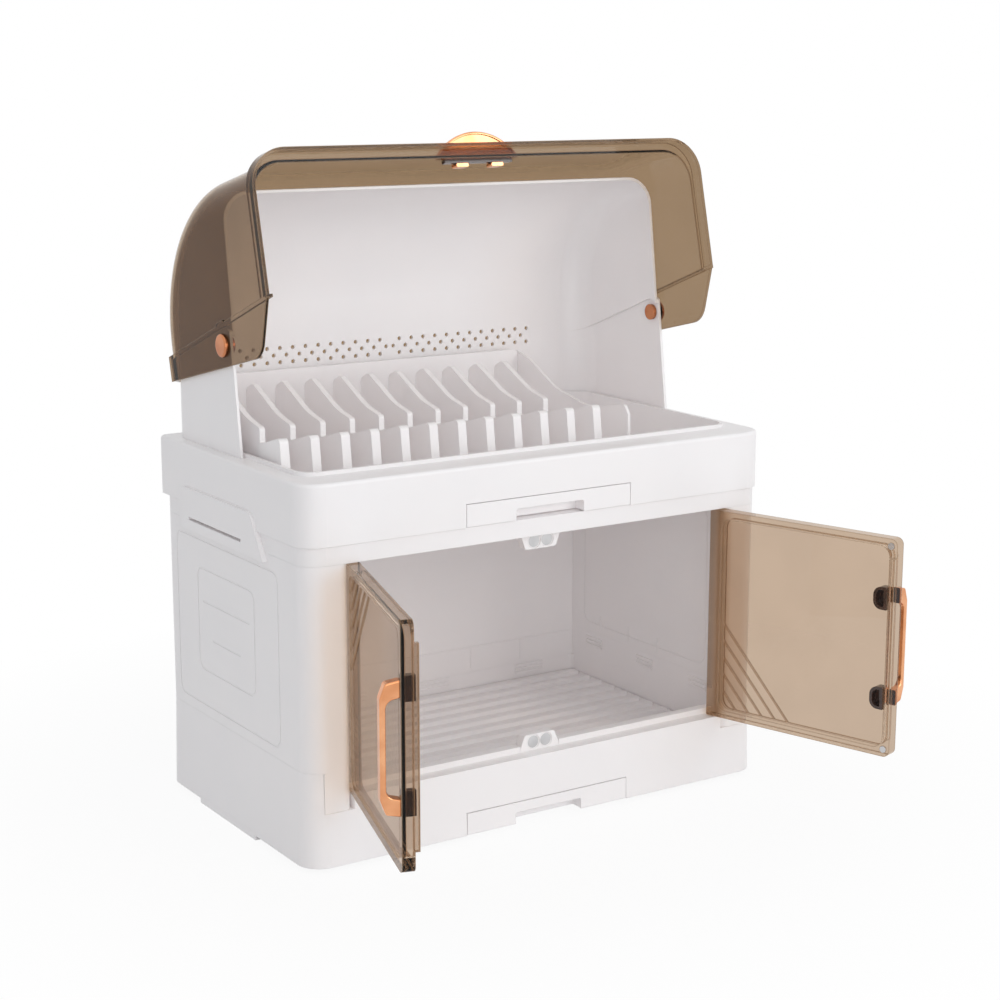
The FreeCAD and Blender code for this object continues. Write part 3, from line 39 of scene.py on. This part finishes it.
class Shader:
    """A node material under construction: a Principled surface and the nodes that feed it."""

    def __init__(self, name):
        self.material = bpy.data.materials.new(name)
        self.material.use_nodes = True
        self.tree = self.material.node_tree
        self.surface = self.tree.nodes["Principled BSDF"]
        self.output = self.tree.nodes["Material Output"]

    def add(self, kind, **settings):
        """A new node; each setting is an attribute of it, or else the value of an input socket."""
        node = self.tree.nodes.new(f"ShaderNode{kind}")
        for key, value in settings.items():
            if hasattr(node, key):
                setattr(node, key, value)
            else:
                node.inputs[key.replace("_", " ")].default_value = value
        return node

    def link(self, source, target):
        """Feed one socket into another."""
        self.tree.links.new(source, target)

    def set(self, **values):
        """Values of the surface's own sockets, with _ for the blanks in their names."""
        for key, value in values.items():
            self.surface.inputs[key.replace("_", " ")].default_value = value

    def coordinates(self):
        """Places in metres on the piece as it was made, so that a pattern moves with a moving piece."""
        return self.add("TexCoord").outputs["Object"]

    def noise(self, size, detail=2.0):
        """Soft noise with spots of about the given size in metres."""
        node = self.add("TexNoise", Scale=1 / size, Detail=detail)
        self.link(self.coordinates(), node.inputs["Vector"])
        return node.outputs["Fac"]

    def ramp(self, factor, low, high, start=0.35, end=0.65):
        """A colour between low and high, as the factor goes from start to end."""
        node = self.add("ValToRGB")
        node.color_ramp.elements[0].position = start
        node.color_ramp.elements[0].color = (*low, 1)
        node.color_ramp.elements[1].position = end
        node.color_ramp.elements[1].color = (*high, 1)
        self.link(factor, node.inputs["Fac"])
        return node.outputs["Color"]

    def span(self, factor, low, high):
        """A number between low and high, as the factor goes from 0 to 1."""
        node = self.add("MapRange")
        node.inputs["To Min"].default_value = low
        node.inputs["To Max"].default_value = high
        self.link(factor, node.inputs["Value"])
        return node.outputs["Result"]

    def edges(self, radius):
        """A number that is 0 on even faces and goes up to 1 within the radius of an edge."""
        rounded = self.add("Bevel", samples=8, Radius=radius)
        flat = self.add("NewGeometry")
        turned = self.add("VectorMath", operation="DOT_PRODUCT")
        self.link(rounded.outputs["Normal"], turned.inputs[0])
        self.link(flat.outputs["Normal"], turned.inputs[1])
        amount = self.add("MapRange")
        amount.inputs["From Min"].default_value = FLAT_COSINE
        amount.inputs["From Max"].default_value = RIM_COSINE
        self.link(turned.outputs["Value"], amount.inputs["Value"])
        return amount.outputs["Result"]

    def relief(self, factor, height, edge):
        """Bump of the given height over edges that are softened to the given radius, in metres."""
        bevel = self.add("Bevel", samples=6, Radius=edge)
        bump = self.add("Bump", Strength=1.0, Distance=height)
        self.link(factor, bump.inputs["Height"])
        self.link(bevel.outputs["Normal"], bump.inputs["Normal"])
        self.link(bump.outputs["Normal"], self.surface.inputs["Normal"])


def white_plastic(name, shade, roughness, edge):
    """Opaque moulded plastic: a faint cloudiness, a fine grain and softened edges."""
    shader = Shader(name)
    shader.set(IOR=1.46, Subsurface_Weight=0.08, Subsurface_Radius=(4 * MM, 3.5 * MM, 3.5 * MM),
               Subsurface_Scale=0.6)
    warm = tuple(shade * part for part in (1.0, 0.978, 0.978))
    cool = tuple(shade * part for part in (0.985, 0.965, 0.968))
    unevenness = 0.03
    shader.link(shader.ramp(shader.noise(60 * MM), warm, cool), shader.surface.inputs["Base Color"])
    shader.link(shader.span(shader.noise(12 * MM), roughness - unevenness, roughness + unevenness),
                shader.surface.inputs["Roughness"])
    shader.relief(shader.noise(1.2 * MM, detail=3.0), height=0.01 * MM, edge=edge)
    return shader.material


def clear_plastic(name, tint, rim_shade, roughness):
    """Smoky see-through plastic with a gloss coat, with painted shade along its edges: a deeper colour, and
    less light let through.
    """
    shader = Shader(name)
    shader.set(IOR=1.1, Coat_Weight=0.25, Coat_IOR=1.5, Coat_Roughness=0.03)
    deep = tuple(channel * 0.96 for channel in tint)
    cloudy = shader.ramp(shader.noise(50 * MM), deep, tint)
    # Painted shade: along every edge the colour turns darker and less light goes through, which draws dark
    # rim lines.
    rim_shade_mask = shader.edges(SHADED_RIM_BAND)
    clear, clear_in_shaded_rim = 1.0, 0.35
    shader.link(shader.span(rim_shade_mask, clear, clear_in_shaded_rim), shader.surface.inputs["Transmission Weight"])
    shaded_edges = shader.add("Mix", data_type="RGBA")
    even_colour, rim_shade_colour = shaded_edges.inputs[6], shaded_edges.inputs[7]
    shader.link(rim_shade_mask, shaded_edges.inputs["Factor"])
    shader.link(cloudy, even_colour)
    rim_shade_colour.default_value = (*rim_shade, 1)
    shader.link(shaded_edges.outputs[2], shader.surface.inputs["Base Color"])
    shader.link(shader.span(shader.noise(8 * MM), roughness, roughness + 0.03),
                shader.surface.inputs["Roughness"])
    shader.relief(shader.noise(20 * MM), height=0.02 * MM, edge=0.6 * MM)
    light_path = shader.add("LightPath")
    one_face = tuple(channel ** 0.5 for channel in tint)
    passing = shader.add("BsdfTransparent", Color=(*one_face, 1))
    mix = shader.add("MixShader")
    shader.link(light_path.outputs["Is Shadow Ray"], mix.inputs["Fac"])
    shader.link(shader.surface.outputs["BSDF"], mix.inputs[1])
    shader.link(passing.outputs["BSDF"], mix.inputs[2])
    shader.link(mix.outputs["Shader"], shader.output.inputs["Surface"])
    return shader.material


def plated_metal(name, low, high, roughness, edge):
    """Bright plating over a moulded part: a slow waviness, and finer and coarser wiping marks."""
    shader = Shader(name)
    shader.set(Metallic=1.0)
    shader.link(shader.ramp(shader.noise(20 * MM), low, high), shader.surface.inputs["Base Color"])
    shader.link(shader.span(shader.noise(4 * MM, detail=4.0), roughness, roughness + 0.08),
                shader.surface.inputs["Roughness"])
    shader.relief(shader.noise(10 * MM), height=0.06 * MM, edge=edge)
    return shader.material


def dark_plastic(name):
    """Dark brown see-through cups, thick enough to look nearly solid."""
    shader = Shader(name)
    shader.set(IOR=1.46, Transmission_Weight=0.25, Coat_Weight=0.4)
    dark, brown = (0.035, 0.014, 0.009), (0.075, 0.032, 0.02)
    shader.link(shader.ramp(shader.noise(6 * MM), dark, brown), shader.surface.inputs["Base Color"])
    shader.link(shader.span(shader.noise(3 * MM), 0.12, 0.2), shader.surface.inputs["Roughness"])
    shader.relief(shader.noise(4 * MM), height=0.03 * MM, edge=0.5 * MM)
    return shader.material


def rubber(name):
    """Grey rubber with a dusty, uneven gloss."""
    shader = Shader(name)
    grey, dusty = (0.32, 0.32, 0.33), (0.4, 0.4, 0.41)
    shader.link(shader.ramp(shader.noise(3 * MM), grey, dusty), shader.surface.inputs["Base Color"])
    shader.link(shader.span(shader.noise(2 * MM), 0.6, 0.8), shader.surface.inputs["Roughness"])
    shader.relief(shader.noise(0.8 * MM), height=0.04 * MM, edge=0.5 * MM)
    return shader.material


LOOKS = {
    white_plastic("shell_plastic", shade=0.92, roughness=0.36, edge=0.6 * MM): [
        "base_frame", "top_frame", "upper_tray", "left_wall_panel", "right_wall_panel", "back_wall_panel",
        "left_lift_grip", "right_lift_grip"],
    white_plastic("hood_plastic", shade=0.92, roughness=0.32, edge=0.8 * MM): ["hood"],
    white_plastic("insert_plastic", shade=0.93, roughness=0.30, edge=0.9 * MM): [
        "plate_rack", "drain_grille", "upper_drawer", "lower_drawer", "upper_drawer_runners",
        "lower_drawer_runners", "upper_catch_body", "lower_catch_body"],
    clear_plastic("lid_plastic", tint=(0.325, 0.222, 0.134), rim_shade=(0.3, 0.19, 0.11), roughness=0.02): [
        "lid_shell"],
    clear_plastic("door_plastic", tint=(0.57, 0.435, 0.325), rim_shade=(0.46, 0.32, 0.21), roughness=0.02): [
        "left_door", "right_door"],
    dark_plastic("socket_plastic"): ["left_handle_sockets", "right_handle_sockets", "lid_handle_bracket"],
    plated_metal("rose_gold", low=(0.7, 0.3, 0.14), high=(0.84, 0.42, 0.22), roughness=0.14,
                 edge=0.8 * MM): [
        "lid_handle", "lid_handle_clips", "left_door_handle", "right_door_handle"],
    # Painted shade: a darker copy of the rose gold plating, used for the lid pivots.
    plated_metal("rose_gold_painted_shade", low=(0.42, 0.15, 0.07), high=(0.56, 0.23, 0.11), roughness=0.16,
                 edge=0.8 * MM): [
        "left_lid_pivot", "right_lid_pivot"],
    plated_metal("bare_steel", low=(0.55, 0.55, 0.56), high=(0.66, 0.66, 0.67), roughness=0.3,
                 edge=0.4 * MM): [
        "upper_catch_magnets", "lower_catch_magnets", "left_door_strikes", "right_door_strikes"],
    rubber("foot_rubber"): ["rubber_feet"],
}

for look, names in LOOKS.items():
    for name in names:
        mesh = nodes[name].data
        mesh.materials.clear()
        mesh.materials.append(look)


def white_seeing_rays(tree):
    """A socket that is 1 on the rays of the camera, of mirrors and of clear plastic, and 0 on others."""
    light_path = tree.nodes.new("ShaderNodeLightPath")
    seen = light_path.outputs["Is Camera Ray"]
    for other in ("Is Glossy Ray", "Is Transmission Ray"):
        either = tree.nodes.new("ShaderNodeMath")
        either.operation = "MAXIMUM"
        tree.links.new(seen, either.inputs[0])
        tree.links.new(light_path.outputs[other], either.inputs[1])
        seen = either.outputs["Value"]
    return seen


def background_material(name, shade, glow, near, far):
    """Pale surface that the camera, mirrors and clear plastic see brightened, to pure white from far on."""
    shader = Shader(name)
    shader.set(Base_Color=(*shade, 1), Roughness=0.9, Specular_IOR_Level=0.1)
    away = shader.add("VectorMath", operation="LENGTH")
    shader.link(shader.coordinates(), away.inputs[0])
    brightness = shader.add("MapRange")
    for key, value in (("From Min", near), ("From Max", far), ("To Min", glow)):
        brightness.inputs[key].default_value = value
    shader.link(away.outputs["Value"], brightness.inputs["Value"])
    amount = shader.add("Math", operation="MULTIPLY")
    shader.link(white_seeing_rays(shader.tree), amount.inputs[0])
    shader.link(brightness.outputs["Result"], amount.inputs[1])
    white = shader.add("Emission", Color=(1, 1, 1, 1), Strength=1.0)
    mix = shader.add("MixShader")
    shader.link(amount.outputs["Value"], mix.inputs["Fac"])
    shader.link(shader.surface.outputs["BSDF"], mix.inputs[1])
    shader.link(white.outputs["Emission"], mix.inputs[2])
    shader.link(mix.outputs["Shader"], shader.output.inputs["Surface"])
    return shader.material


def add_floor():
    """A wide floor under the rack, which keeps a soft shadow."""
    far = FLOOR_HALF_SIZE
    mesh = bpy.data.meshes.new("floor")
    corners = [(-far, -far, 0), (far, -far, 0), (far, far, 0), (-far, far, 0)]
    mesh.from_pydata(corners, [], [(0, 1, 2, 3)])
    floor = bpy.data.objects.new("floor", mesh)
    bpy.context.scene.collection.objects.link(floor)
    mesh.materials.append(background_material(
        "floor_white", shade=(0.86, 0.86, 0.87), glow=0.92, near=0.3, far=0.6))


def add_softbox(name, place, size, power):
    """A square white studio lamp that faces the middle of the rack."""
    lamp = bpy.data.lights.new(name, "AREA")
    lamp.shape = "SQUARE"
    lamp.size = size
    lamp.energy = power
    item = bpy.data.objects.new(name, lamp)
    item.location = place
    item.rotation_euler = (Vector(AIM) - Vector(place)).to_track_quat("-Z", "Y").to_euler()
    bpy.context.scene.collection.objects.link(item)


def set_world(level):
    """Even light from all round; the camera, mirrors and clear plastic see white."""
    world = bpy.data.worlds.new("studio")
    bpy.context.scene.world = world
    world.use_nodes = True
    tree = world.node_tree
    tree.nodes.clear()
    around = tree.nodes.new("ShaderNodeBackground")
    around.inputs["Color"].default_value = (0.97, 0.98, 1, 1)
    around.inputs["Strength"].default_value = level
    white = tree.nodes.new("ShaderNodeBackground")
    white.inputs["Color"].default_value = (1, 1, 1, 1)
    mix = tree.nodes.new("ShaderNodeMixShader")
    tree.links.new(white_seeing_rays(tree), mix.inputs["Fac"])
    tree.links.new(around.outputs["Background"], mix.inputs[1])
    tree.links.new(white.outputs["Background"], mix.inputs[2])
    output = tree.nodes.new("ShaderNodeOutputWorld")
    tree.links.new(mix.outputs["Shader"], output.inputs["Surface"])


def add_camera():
    """The photograph's view: from the front left, a little above the lid."""
    lens = bpy.data.cameras.new("camera")
    lens.sensor_width = 36
    lens.lens = 73.54
    tilt, roll, turn = 90 - 12.001, -0.074, -33.096
    camera = bpy.data.objects.new("camera", lens)
    camera.location = (-0.91674, -1.46256, 0.6179)
    camera.rotation_euler = Euler([math.radians(angle) for angle in (tilt, roll, turn)])
    bpy.context.scene.collection.objects.link(camera)
    bpy.context.scene.camera = camera


bpy.context.scene.view_settings.view_transform = "Standard"
for setting, count in LIGHT_BOUNCES.items():
    setattr(bpy.context.scene.cycles, setting, count)
add_floor()
set_world(level=0.62)
add_softbox("front", place=(-0.9, -2.2, 0.6), size=1.4, power=9)
add_softbox("right", place=(1.1, -2.2, 1.0), size=1.2, power=13.5)
add_softbox("top", place=(0.0, -0.5, 2.4), size=1.6, power=4)
add_camera()

bpy.context.view_layer.update()
